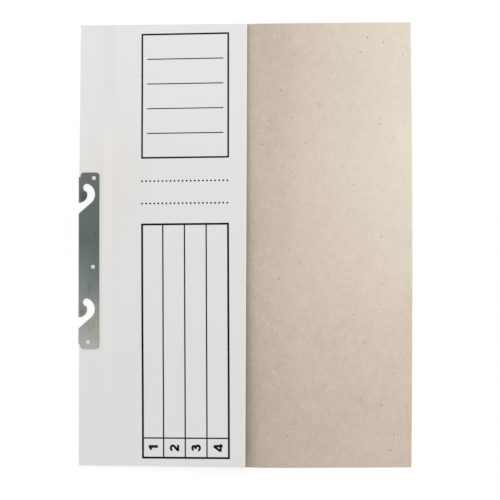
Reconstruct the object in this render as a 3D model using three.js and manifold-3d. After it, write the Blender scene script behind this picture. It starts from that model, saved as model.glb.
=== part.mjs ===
// A half-cover fastener folder for A4 sheets. One sheet of duplex board is folded over at the spine,
// a steel hook strip is riveted round the fold so that the folder hangs on the rings of a lever arch
// file, and a two-prong tinplate fastener inside holds the punched sheets.
// Millimetres. +X runs from the spine to the free edge, +Y up the page, and +Z from the back cover to
// the front cover. The origin is on the table, under the middle of the closed folder.
import * as THREE from 'three';
import { mergeVertices } from 'three/addons/utils/BufferGeometryUtils.js';
import Module from 'manifold-3d';

const wasm = await Module();
wasm.setup();

const degrees = THREE.MathUtils.degToRad;

// Board
const folderWidth = 232; // from the outside of the steel fold to the free edge of the back cover
const folderHeight = 309;
const halfCoverWidth = 117; // from the outside of the steel fold to the free edge of the front cover
const boardThickness = 0.4;
const creaseInset = 2.5; // from the edge of the hook strip to the line where a cover bends
const creaseWidth = 0.8;

// Steel hook strip, folded into a U round the spine
const stripWidth = 14.5;
const stripAbovePocket = 10.5; // from the upper hook's pocket to the upper end of the strip
const stripBelowPocket = 32.4; // from the lower hook's pocket to the lower end
const steelThickness = 0.4;
const leafInset = 1.5; // the leaves' own left edge, at the ends where the fold is cut away
const foldRelief = 3.2; // length of fold cut away at each end
const leafCornerRadius = 2.2;

// Hooks, one for each ring of the file
const ringPitch = 80;
const pocketRadius = 2.7;
const pocketInset = 5.74; // from the outside of the fold to the middle of the pocket
const outerRadius = 7.8; // the long curve of the slot, on the side away from the spine
const pocketTurn = 67; // direction in which the long curve runs into the pocket, in degrees
const mouthSlope = 41; // slope of the lead-in edge, in degrees
const ringGap = 5.6; // width of the channel beside the tooth
const toothDrop = 5; // from the pocket's middle down to the widest place of the tooth
const toothHalfHeight = 5.5;
const toothTop = 24; // direction, from the tooth's middle, where it meets the pocket, in degrees
const boardSetBack = 0.5; // the board's cut-outs are this much wider than the steel's

// Hollow rivets through steel and board
const rivetBarrelRadius = 1;
const rivetBoreRadius = 0.5;
const rivetHeadRadius = 1.4;
const rivetHeadHeight = 0.3;
const rivetHoleClearance = 0.08;
const rivetPlaces = {
  rivet_upper: { inset: 10.85, height: 46.5 },
  rivet_middle: { inset: 10.3, height: -15.4 },
  rivet_lower: { inset: 6.9, height: -67.8 },
};

// Paper fastener
const prongPitch = 80; // the same punching as the file's rings
const prongInset = 30; // from the outside of the steel fold to the line of the prongs
const prongWidth = 5;
const prongLength = 24; // the flat tongue, from its bend to its tip
const tinThickness = 0.25;
const paperThickness = 0.2; // the glued strip that holds the fastener's base
const paperSpineSide = 5.8; // from the line of the prongs to the edge beside the spine
const paperFarSide = 15;
const paperLength = 116;
const paperShoulder = 1.5; // width of each step where the strip rises over the base
const barLength = 104;
const barWidth = 9;
const barFlangeHeight = 0.3; // how far the bar's edges turn down below its web
const barRibWidth = 2.4;
const barSlotLength = 6;
const barSlotWidth = 1.6;
const barCornerRadius = 2;
const sliderLength = 8;
const sliderLip = 0.9; // how far a slider reaches in under the bar's edges
const sliderSideGap = 0.15;
const sliderRest = 8; // from the middle of the bar to the middle of each slider, unlocked

// Clearances
const seatGap = 0.05; // between faces that lie on each other
const slideGap = 0.1; // between faces that slide past each other
const coverClearance = 0.3; // between the fastener and the front cover
const cutOverrun = 3; // how far a cutting solid runs past what it cuts

// Slopes of the covers beside the spine
const backRampWidth = 6; // from the crease to where the back cover lies flat on the table
const frontRampWidth = 7;
const freeEdgeHeight = 4.4; // underside of the front cover at its free edge, over the table
const arcSteps = 8;

// Heights of the layers clamped in the spine, from the table up
const backLeafBottom = rivetHeadHeight + seatGap;
const backBoardBottom = backLeafBottom + steelThickness + seatGap;
const frontBoardBottom = backBoardBottom + boardThickness + seatGap;
const frontLeafBottom = frontBoardBottom + boardThickness + seatGap;
const frontLeafTop = frontLeafBottom + steelThickness;
const foldHeight = (backLeafBottom + frontLeafTop) / 2;
const foldRadius = (frontLeafTop - backLeafBottom) / 2; // outside of the steel fold, and its inset

// Places along X and Y
const creaseLine = stripWidth + creaseInset;
const marginEnd = creaseLine - creaseWidth / 2;
const coverStart = creaseLine + creaseWidth / 2;
const stripTop = ringPitch / 2 + stripAbovePocket;
const stripBottom = -ringPitch / 2 - stripBelowPocket;

// Heights of the fastener's layers
const baseBottom = boardThickness + seatGap;
const baseTop = baseBottom + tinThickness;
const paperTop = baseTop + seatGap + paperThickness;
const ribBottom = paperTop + seatGap;
const lipBottom = ribBottom;
const flangeBottom = lipBottom + tinThickness + slideGap;
const webBottom = flangeBottom + barFlangeHeight;
const webTop = webBottom + tinThickness;
const tongueBottom = webTop + slideGap;
const tongueTop = tongueBottom + tinThickness;
const sliderTop = tongueTop + slideGap + tinThickness;

const finishes = {
  whiteBoard: new THREE.MeshStandardMaterial({ color: 0xdedcd9, roughness: 0.62, metalness: 0 }),
  greyPaper: new THREE.MeshStandardMaterial({ color: 0xc9bba6, roughness: 0.85, metalness: 0 }),
  zincSteel: new THREE.MeshStandardMaterial({ color: 0x7d8682, roughness: 0.35, metalness: 1 }),
  brightSteel: new THREE.MeshStandardMaterial({ color: 0xd9dbda, roughness: 0.2, metalness: 1 }),
  tinplate: new THREE.MeshStandardMaterial({ color: 0xb9bcb8, roughness: 0.28, metalness: 1 }),
};

function solidOf(geometry) {
  const bare = geometry.clone();
  bare.deleteAttribute('normal');
  bare.deleteAttribute('uv');
  const merged = mergeVertices(bare);
  return new wasm.Manifold(new wasm.Mesh({
    numProp: 3,
    vertProperties: merged.attributes.position.array,
    triVerts: new Uint32Array(merged.index.array),
  }));
}

function geometryOf(solid) {
  const mesh = solid.getMesh();
  const geometry = new THREE.BufferGeometry();
  geometry.setAttribute('position', new THREE.BufferAttribute(mesh.vertProperties, 3));
  geometry.setIndex(new THREE.BufferAttribute(mesh.triVerts, 1));
  geometry.computeVertexNormals();
  return geometry;
}

// A flat outline in X and Y, from one height to another.
function plate(outline, bottom, top) {
  const geometry = new THREE.ExtrudeGeometry(outline, {
    depth: top - bottom, bevelEnabled: false, curveSegments: arcSteps,
  });
  return geometry.translate(0, 0, bottom);
}

// A cross-section in X and Z, run along Y.
function runAlongY(section, start, end) {
  const geometry = new THREE.ExtrudeGeometry(section, {
    depth: end - start, bevelEnabled: false, curveSegments: arcSteps,
  });
  return geometry.rotateX(Math.PI / 2).translate(0, end, 0);
}

// A cross-section in Y and Z, run along X.
function runAlongX(section, start, end) {
  const geometry = new THREE.ExtrudeGeometry(section, {
    depth: end - start, bevelEnabled: false, curveSegments: arcSteps,
  });
  return geometry.rotateX(Math.PI / 2).rotateZ(Math.PI / 2).translate(start, 0, 0);
}

function shapeThrough(points) {
  return new THREE.Shape(points.map(([a, b]) => new THREE.Vector2(a, b)));
}

// A rectangle with round corners.
function roundedRectangle(left, bottom, right, top, radius) {
  const r = Math.min(radius, (right - left) / 2, (top - bottom) / 2);
  const outline = new THREE.Shape();
  outline.absarc(right - r, bottom + r, r, -Math.PI / 2, 0, false);
  outline.absarc(right - r, top - r, r, 0, Math.PI / 2, false);
  outline.absarc(left + r, top - r, r, Math.PI / 2, Math.PI, false);
  outline.absarc(left + r, bottom + r, r, Math.PI, Math.PI * 1.5, false);
  return outline;
}

function disc(x, y, radius) {
  return new THREE.Shape().absarc(x, y, radius, 0, Math.PI * 2, false);
}

// Sheet of even thickness folded over at the spine: two flat arms joined by a half-round fold.
function foldedSection(armEnd, thickness, bottom, top) {
  const outside = (top - bottom) / 2;
  const section = new THREE.Shape();
  section.moveTo(armEnd, bottom);
  section.lineTo(foldRadius, bottom);
  section.absarc(foldRadius, foldHeight, outside, -Math.PI / 2, Math.PI / 2, true);
  section.lineTo(armEnd, top);
  section.lineTo(armEnd, top - thickness);
  section.absarc(foldRadius, foldHeight, outside - thickness, Math.PI / 2, -Math.PI / 2, false);
  section.lineTo(armEnd, bottom + thickness);
  section.closePath();
  return section;
}

// Slot of one hook. A ring goes in at the mouth on the left, and lifts round the tooth into the pocket.
function hookSlot(pocketHeight, ease) {
  const turn = degrees(pocketTurn);
  const slope = degrees(mouthSlope);
  const reach = outerRadius - pocketRadius;
  const outerX = pocketInset - reach * Math.cos(turn);
  const outerY = pocketHeight - reach * Math.sin(turn);
  const tangent = slope - Math.PI / 2;
  const tangentX = outerX + (outerRadius + ease) * Math.cos(tangent);
  const tangentY = outerY + (outerRadius + ease) * Math.sin(tangent);
  const toothReach = outerX + outerRadius - ringGap - ease;
  const toothHeight = toothHalfHeight - ease;
  const toothMiddle = pocketHeight - toothDrop;
  const toothStart = degrees(toothTop);
  const pocketEnd = Math.atan2(
    toothMiddle + toothHeight * Math.sin(toothStart) - pocketHeight,
    toothReach * Math.cos(toothStart) - pocketInset,
  ) + Math.PI * 2;
  const slot = new THREE.Shape();
  slot.moveTo(-cutOverrun, tangentY - (tangentX + cutOverrun) * Math.tan(slope));
  slot.lineTo(tangentX, tangentY);
  slot.absarc(outerX, outerY, outerRadius + ease, tangent, turn, false);
  slot.absarc(pocketInset, pocketHeight, pocketRadius + ease, turn, pocketEnd, false);
  slot.absellipse(0, toothMiddle, toothReach, toothHeight, toothStart, -Math.PI / 2, true);
  slot.lineTo(-cutOverrun, toothMiddle - toothHeight);
  slot.closePath();
  return slot;
}

// Everything cut through the layers of the spine: the two slots and the rivet holes.
function spineCuts(ease) {
  const outlines = [
    hookSlot(ringPitch / 2, ease),
    hookSlot(-ringPitch / 2, ease),
    ...Object.values(rivetPlaces).map(({ inset, height }) =>
      disc(inset, height, rivetBarrelRadius + rivetHoleClearance)),
  ];
  return outlines
    .map((outline) => solidOf(plate(outline, -cutOverrun, frontLeafTop + cutOverrun)))
    .reduce((all, next) => all.add(next));
}

function spineFold() {
  const top = frontBoardBottom + boardThickness;
  const section = foldedSection(marginEnd, boardThickness, backBoardBottom, top);
  const sheet = runAlongY(section, -folderHeight / 2, folderHeight / 2);
  return geometryOf(solidOf(sheet).subtract(spineCuts(boardSetBack)));
}

// Seen from the front, both leaves have round corners, and the fold stops short of their ends.
function stripOutline() {
  const outline = roundedRectangle(leafInset, stripBottom, stripWidth, stripTop, leafCornerRadius);
  const fold = shapeThrough([
    [-cutOverrun, stripBottom + foldRelief],
    [leafInset + leafCornerRadius, stripBottom + foldRelief],
    [leafInset + leafCornerRadius, stripTop - foldRelief],
    [-cutOverrun, stripTop - foldRelief],
  ]);
  return [outline, fold]
    .map((shape) => solidOf(plate(shape, -cutOverrun, frontLeafTop + cutOverrun)))
    .reduce((all, next) => all.add(next));
}

function hookStrip() {
  const section = foldedSection(stripWidth, steelThickness, backLeafBottom, frontLeafTop);
  const folded = solidOf(runAlongY(section, stripBottom, stripTop));
  return geometryOf(folded.intersect(stripOutline()).subtract(spineCuts(0)));
}

// A tube with a rounded head at each end, on its own axis, its lower head on the table.
function rivet() {
  const top = frontLeafTop + seatGap;
  const lift = rivetHeadHeight / 2;
  const profile = [
    [rivetBoreRadius, 0],
    [rivetHeadRadius - lift, 0],
    [rivetHeadRadius, lift],
    [rivetHeadRadius, rivetHeadHeight],
    [rivetBarrelRadius, rivetHeadHeight],
    [rivetBarrelRadius, top],
    [rivetHeadRadius, top],
    [rivetHeadRadius, top + lift],
    [rivetHeadRadius - lift, top + rivetHeadHeight],
    [rivetBoreRadius, top + rivetHeadHeight],
    [rivetBoreRadius, 0],
  ].map(([radius, height]) => new THREE.Vector2(radius, height));
  return new THREE.LatheGeometry(profile, arcSteps * 3).rotateX(Math.PI / 2);
}

// The back cover slopes down from the spine and then lies flat on the table.
function backCover() {
  const rampEnd = coverStart + backRampWidth;
  const section = shapeThrough([
    [coverStart, backBoardBottom],
    [rampEnd, 0],
    [folderWidth, 0],
    [folderWidth, boardThickness],
    [rampEnd, boardThickness],
    [coverStart, backBoardBottom + boardThickness],
  ]);
  return runAlongY(section, -folderHeight / 2, folderHeight / 2);
}

// The half cover climbs from the spine over the fastener, and then gently up to its free edge.
function frontHalfCover() {
  const underside = [
    [coverStart, frontBoardBottom],
    [coverStart + frontRampWidth, sliderTop + coverClearance],
    [halfCoverWidth, freeEdgeHeight],
  ];
  const topside = underside.map(([x, z]) => [x, z + boardThickness]).reverse();
  return runAlongY(shapeThrough([...underside, ...topside]), -folderHeight / 2, folderHeight / 2);
}

// Tinplate strip whose two ends stand up through the paper strip and the bar.
function fastenerBase() {
  const outer = prongPitch / 2 + tinThickness / 2;
  const inner = prongPitch / 2 - tinThickness / 2;
  const section = shapeThrough([
    [-outer, baseBottom], [outer, baseBottom], [outer, webTop], [inner, webTop],
    [inner, baseTop], [-inner, baseTop], [-inner, webTop], [-outer, webTop],
  ]);
  return runAlongX(section, -prongWidth / 2, prongWidth / 2);
}

function slotCuts(length, width) {
  return [-1, 1]
    .map((side) => roundedRectangle(
      -length / 2, side * prongPitch / 2 - width / 2, length / 2, side * prongPitch / 2 + width / 2, width / 2,
    ))
    .map((outline) => solidOf(plate(outline, -cutOverrun, sliderTop + cutOverrun)))
    .reduce((all, next) => all.add(next));
}

// Paper strip glued to the back cover, raised along its middle over the fastener's base.
function paperStrip() {
  const hump = prongWidth / 2 + slideGap;
  const underside = [
    [-paperSpineSide, baseBottom],
    [-hump - paperShoulder, baseBottom],
    [-hump, baseTop + seatGap],
    [hump, baseTop + seatGap],
    [hump + paperShoulder, baseBottom],
    [paperFarSide, baseBottom],
  ];
  const topside = underside.map(([x, z]) => [x, z + paperThickness]).reverse();
  const strip = runAlongY(shapeThrough([...underside, ...topside]), -paperLength / 2, paperLength / 2);
  return geometryOf(solidOf(strip).subtract(slotCuts(barSlotLength, barSlotWidth)));
}

// Bar that presses the sheets down: edges turned down, and a rib pressed in along the middle.
function compressorBar() {
  const edge = barWidth / 2;
  const rib = barRibWidth / 2;
  const section = shapeThrough([
    [-edge, flangeBottom],
    [-edge + tinThickness, flangeBottom],
    [-edge + tinThickness, webBottom],
    [-rib - tinThickness, webBottom],
    [-rib, ribBottom],
    [rib, ribBottom],
    [rib + tinThickness, webBottom],
    [edge - tinThickness, webBottom],
    [edge - tinThickness, flangeBottom],
    [edge, flangeBottom],
    [edge, webTop],
    [rib, webTop],
    [rib - tinThickness, ribBottom + tinThickness],
    [-rib + tinThickness, ribBottom + tinThickness],
    [-rib, webTop],
    [-edge, webTop],
  ]);
  const bar = solidOf(runAlongY(section, -barLength / 2, barLength / 2));
  const outline = roundedRectangle(-edge, -barLength / 2, edge, barLength / 2, barCornerRadius);
  const ends = solidOf(plate(outline, 0, sliderTop + cutOverrun));
  return geometryOf(bar.intersect(ends).subtract(slotCuts(barSlotLength, barSlotWidth)));
}

// Flat tongue that folds in towards the middle of the bar. Its bend is at the origin.
function prongTongue() {
  const half = prongWidth / 2;
  const outline = new THREE.Shape();
  outline.moveTo(-half, -tinThickness);
  outline.lineTo(half, -tinThickness);
  outline.lineTo(half, half - prongLength);
  outline.absarc(0, half - prongLength, half, 0, -Math.PI, true);
  outline.closePath();
  return plate(outline, -tinThickness / 2, tinThickness / 2);
}

// Sleeve that runs on the bar's edges and locks a tongue down.
function slider() {
  const inside = barWidth / 2 + sliderSideGap;
  const outside = inside + tinThickness;
  const lip = outside - sliderLip;
  const section = shapeThrough([
    [-lip, lipBottom],
    [-lip, lipBottom + tinThickness],
    [-inside, lipBottom + tinThickness],
    [-inside, sliderTop - tinThickness],
    [inside, sliderTop - tinThickness],
    [inside, lipBottom + tinThickness],
    [lip, lipBottom + tinThickness],
    [lip, lipBottom],
    [outside, lipBottom],
    [outside, sliderTop],
    [-outside, sliderTop],
    [-outside, lipBottom],
  ]);
  return runAlongY(section, -sliderLength / 2, sliderLength / 2);
}

function named(name, geometry, material) {
  const mesh = new THREE.Mesh(geometry, material);
  mesh.name = name;
  return mesh;
}

// The folded margin of the board with the steel strip and rivets that clamp it.
function spineGroup() {
  const group = new THREE.Group();
  group.add(named('spine_fold', spineFold(), finishes.whiteBoard));
  group.add(named('hook_strip', hookStrip(), finishes.zincSteel));
  for (const [name, { inset, height }] of Object.entries(rivetPlaces)) {
    const mesh = named(name, rivet(), finishes.brightSteel);
    mesh.position.set(inset, height, 0);
    group.add(mesh);
  }
  return group;
}

function fastenerGroup() {
  const group = new THREE.Group();
  group.add(named('fastener_base', fastenerBase(), finishes.tinplate));
  group.add(named('paper_strip', paperStrip(), finishes.greyPaper));
  group.add(named('compressor_bar', compressorBar(), finishes.tinplate));
  for (const [word, side] of [['upper', 1], ['lower', -1]]) {
    const tongue = named(`${word}_prong`, prongTongue(), finishes.tinplate);
    tongue.position.set(0, side * prongPitch / 2, (tongueBottom + tongueTop) / 2);
    tongue.rotation.z = side > 0 ? 0 : Math.PI;
    group.add(tongue);
    const lock = named(`${word}_slider`, slider(), finishes.tinplate);
    lock.position.y = side * sliderRest;
    group.add(lock);
  }
  group.position.x = prongInset;
  return group;
}

const folder = new THREE.Group();
const fromSpine = new THREE.Group();
fromSpine.position.x = -folderWidth / 2;
fromSpine.add(
  spineGroup(),
  named('back_cover', backCover(), finishes.whiteBoard),
  fastenerGroup(),
  named('front_half_cover', frontHalfCover(), finishes.whiteBoard),
);
folder.add(fromSpine);

export default folder;
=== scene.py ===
"""A half-cover fastener folder for A4 sheets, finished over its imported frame.

Metres. +X runs from the spine to the free edge, +Y up the page, and +Z from the back cover to the
front cover. The folder lies closed on the table.
"""

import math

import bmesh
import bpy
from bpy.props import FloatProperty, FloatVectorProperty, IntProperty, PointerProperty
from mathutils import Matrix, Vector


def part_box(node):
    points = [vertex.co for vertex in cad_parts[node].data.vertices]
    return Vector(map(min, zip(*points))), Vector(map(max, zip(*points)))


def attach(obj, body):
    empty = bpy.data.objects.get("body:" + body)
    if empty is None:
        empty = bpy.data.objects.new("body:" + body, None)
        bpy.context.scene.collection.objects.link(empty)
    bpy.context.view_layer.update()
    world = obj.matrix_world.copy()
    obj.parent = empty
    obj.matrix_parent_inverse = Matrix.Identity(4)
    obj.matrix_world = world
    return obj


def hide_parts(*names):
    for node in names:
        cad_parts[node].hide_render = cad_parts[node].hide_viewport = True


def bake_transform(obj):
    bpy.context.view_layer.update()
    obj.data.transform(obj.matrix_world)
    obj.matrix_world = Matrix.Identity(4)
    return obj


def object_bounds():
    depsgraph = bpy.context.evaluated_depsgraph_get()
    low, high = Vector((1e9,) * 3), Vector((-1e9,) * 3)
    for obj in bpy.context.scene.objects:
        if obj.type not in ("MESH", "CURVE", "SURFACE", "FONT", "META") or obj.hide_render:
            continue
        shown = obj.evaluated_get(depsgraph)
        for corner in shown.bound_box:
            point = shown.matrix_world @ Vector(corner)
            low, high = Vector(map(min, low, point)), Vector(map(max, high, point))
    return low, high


bl_info = {
    "name": "Fastener folder",
    "version": (1, 0, 0),
    "blender": (4, 5, 0),
    "location": "View3D > Sidebar > Folder",
    "description": "Builds a half-cover folder with a steel hook strip and a paper fastener",
    "category": "Add Mesh",
}

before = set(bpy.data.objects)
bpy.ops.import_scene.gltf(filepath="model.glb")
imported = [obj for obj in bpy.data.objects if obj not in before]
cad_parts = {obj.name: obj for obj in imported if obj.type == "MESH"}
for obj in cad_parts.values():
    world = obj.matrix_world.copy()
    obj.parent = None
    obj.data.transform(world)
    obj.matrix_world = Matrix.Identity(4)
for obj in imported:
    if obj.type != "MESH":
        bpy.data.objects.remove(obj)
cad_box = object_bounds()

MM = 0.001
SHARP = math.radians(35)

# Places taken from the frame
CAD_LOW, CAD_HIGH = cad_box
SPINE_LOW, SPINE_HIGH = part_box("spine_fold")
BACK_LOW, BACK_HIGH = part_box("back_cover")
FRONT_LOW, FRONT_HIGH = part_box("front_half_cover")
STRIP_LOW, STRIP_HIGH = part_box("hook_strip")
FOLD_HEIGHT = (SPINE_LOW.z + SPINE_HIGH.z) / 2
HALF_LENGTH = BACK_HIGH.y
CREASE_START = (SPINE_HIGH.x, 0, 0)
CREASE_END = (FRONT_LOW.x, 0, 0)
CREASE_MIDDLE = (SPINE_HIGH.x + FRONT_LOW.x) / 2

# Strips along the page that the board and the ink on it are cut into, so that both curve alike
STRIPS_ALONG = 22


def light_of(red, green, blue):
    """A colour given in screen values from 0 to 255, as linear light."""
    def linear(value):
        share = value / 255
        return share / 12.92 if share <= 0.04045 else ((share + 0.055) / 1.055) ** 2.4
    return (linear(red), linear(green), linear(blue))


def length(name, description, default):
    return FloatProperty(name=name, description=description, default=default, unit="LENGTH", precision=5)


def angle(name, description, degrees):
    return FloatProperty(
        name=name, description=description, default=math.radians(degrees), subtype="ANGLE",
    )


def colour(name, description, red, green, blue):
    return FloatVectorProperty(
        name=name, description=description, default=light_of(red, green, blue),
        subtype="COLOR", min=0, max=1,
    )


class FolderBoard(bpy.types.PropertyGroup):
    """Sizes of the duplex board."""

    thickness: length("Thickness", "Thickness of the board", 0.4 * MM)
    ramp_width: length("Ramp", "From the crease to where the half cover clears the fastener", 7.8 * MM)
    ramp_ends: FloatProperty(
        name="Ramp ends", description="Share of the ramp that is rounded at each end", default=0.1,
        min=0.01, max=0.5,
    )
    over_fastener: length("Over fastener", "Underside of the half cover over the fastener", 2.68 * MM)
    hump_start: length("Hump", "From the middle to where the half cover starts to sink", 60 * MM)
    hump_end: length("Hump end", "From the middle to where the half cover lies straight", 118 * MM)
    edge_height_head: length("Edge, head", "Underside of the free edge at the head of the page", 1.6 * MM)
    edge_height_foot: length("Edge, foot", "Underside of the free edge at the foot of the page", 4.35 * MM)
    edge_curl: FloatProperty(
        name="Curl", description="How much of the lift is at the foot, 1 if it is even", default=1.45, min=1,
    )
    edge_slant: length("Slant", "How far the free edge runs out of square at each end", 0.5 * MM)
    edge_reach: length("Reach", "How far the free edge reaches past its CAD panel", 0.35 * MM)
    # Painted highlight: the top of the board along the free edge is painted in the core's lighter colour,
    # standing in for light on the rounded cut edge
    worn_rim: length("Worn rim", "Width along the free edge where the coating has come off", 0.7 * MM)
    corner_start: length("Corner start", "From the middle to where the fold starts to run inwards", 44.3 * MM)
    corner_slant: length("Corner", "How far the fold has run inwards at the head", 0.95 * MM)
    edge_bow: length("Bow", "How far the back cover's outer edge falls back at its ends", 0.95 * MM)
    bow_middle: length("Bow middle", "Place up the page where that edge reaches furthest", -8 * MM)
    back_ramp_width: length("Back ramp", "From the crease to where the back cover lies flat", 6.4 * MM)
    rim_round: length("Rim", "Rounding of the cut edges", 0.07 * MM)
    crease_depth: length("Crease", "Depth of the pressed crease line", 0.03 * MM)


class FolderForm(bpy.types.PropertyGroup):
    """Sizes of the printed form, from the outside of the spine and from the head of the page."""

    left: length("Left", "Left side of both boxes", 43.2 * MM)
    right: length("Right", "Right side of both boxes", 104.1 * MM)
    box_line: length("Box line", "Width of the top box's outline", 1.18 * MM)
    table_line: length("Table line", "Width of the table's outline", 1.38 * MM)
    ink_height: length("Ink", "How far the ink stands on the board", 0.03 * MM)
    top_box_start: length("Top box start", "Upper side of the top box", 6.5 * MM)
    top_box_end: length("Top box end", "Lower side of the top box", 93.9 * MM)
    top_box_lines: IntProperty(name="Lines", description="Ruled lines in the top box", default=4, min=1)
    row_pitch: length("Row pitch", "From line to line in the top box", 17.3 * MM)
    row_line: length("Row line", "Width of the ruled lines", 0.7 * MM)
    row_inset: length("Row inset", "From the box's side to the end of a row line", 4.0 * MM)
    dot_radius: length("Dot", "Radius of a dot", 0.66 * MM)
    dot_count: IntProperty(name="Dots", description="Dots in a row", default=22, min=2)
    dot_row_1: length("First dots", "Upper row of dots", 109.6 * MM)
    dot_row_2: length("Second dots", "Lower row of dots", 125.2 * MM)
    dot_end: length("Dots end", "Last dot of a row", 102.9 * MM)
    table_start: length("Table start", "Upper side of the table", 139.1 * MM)
    table_end: length("Table end", "Lower side of the table", 302.6 * MM)
    column_pitch: length("Column pitch", "From line to line between the table's columns", 15.03 * MM)
    column_line: length("Column line", "Width of the lines between columns", 0.92 * MM)
    heading_line: length("Heading line", "Width of the line over the numbered cells", 0.95 * MM)
    heading_place: length("Heading place", "Place of that line", 288.3 * MM)
    digit_height: length("Digit", "Height of a digit", 6.4 * MM)
    digit_weight: length("Digit weight", "Width of a digit's strokes", 1.5 * MM)


class FolderMetal(bpy.types.PropertyGroup):
    """Sizes of the metal's finish."""

    strip_edge: length("Strip edge", "Rounding of the stamped strip's edges", 0.06 * MM)
    tin_edge: length("Tin edge", "Rounding of the fastener's edges", 0.04 * MM)
    rivet_steps: IntProperty(name="Steps", description="Facets round a rivet", default=48, min=12)


class FolderColours(bpy.types.PropertyGroup):
    """Colours of the finishes."""

    white: colour("Coated white", "Outside of the board", 227, 226, 224)
    recycled: colour("Recycled grey", "Inside of the board", 214, 199, 182)
    core: colour("Core", "Cut edges of the board", 246, 238, 224)
    ink: colour("Ink", "Printed form", 20, 19, 20)
    paper: colour("Paper", "Glued strip under the fastener", 190, 178, 160)
    rivet: colour("Rivet", "Rivets", 206, 208, 206)
    tin: colour("Tin", "Fastener", 174, 177, 174)


class FolderStage(bpy.types.PropertyGroup):
    """Camera and light."""

    camera_place: FloatVectorProperty(
        name="Camera", description="Place of the camera", default=(0.07781, -0.02553, 1.2),
        subtype="TRANSLATION",
    )
    camera_turn: FloatVectorProperty(
        name="Camera turn", description="Turn of the camera", default=(0.018253, 0.061612, 0.000317),
        subtype="EULER",
    )
    camera_lens: FloatProperty(name="Lens", description="Focal length on a 36 mm sensor", default=124.68)
    fill: FloatProperty(name="Fill", description="Light from all round", default=0.635, min=0)
    key: FloatProperty(name="Key", description="Light from the spine side", default=1.1, min=0)
    key_height: angle("Key height", "Height of the key light over the table", 29)
    key_turn: angle("Key turn", "Direction of the key light, from the spine towards the head", 25)
    key_softness: angle("Key softness", "Angle that the key light fills", 45)
    head_lamp_place: FloatVectorProperty(
        name="Head lamp", description="Place of the soft lamp beyond the head of the page",
        default=(0.12, 0.55, 0.6), subtype="TRANSLATION",
    )
    head_lamp_size: length("Head lamp size", "Width of that lamp", 0.5)
    head_lamp_power: FloatProperty(name="Head lamp power", description="In watts", default=1.5, min=0)


class Tap:
    """One output of a node. Sums with it add Math nodes to its material."""

    def __init__(self, paint, socket):
        self.paint = paint
        self.socket = socket

    def __add__(self, other):
        return self.paint.maths("ADD", self, other)

    def __sub__(self, other):
        return self.paint.maths("SUBTRACT", self, other)

    def __rsub__(self, other):
        return self.paint.maths("SUBTRACT", other, self)

    def __mul__(self, other):
        return self.paint.maths("MULTIPLY", self, other)

    def __lt__(self, other):
        return self.paint.maths("LESS_THAN", self, other)

    def __abs__(self):
        return self.paint.maths("ABSOLUTE", self)

    __radd__ = __add__
    __rmul__ = __mul__


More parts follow.
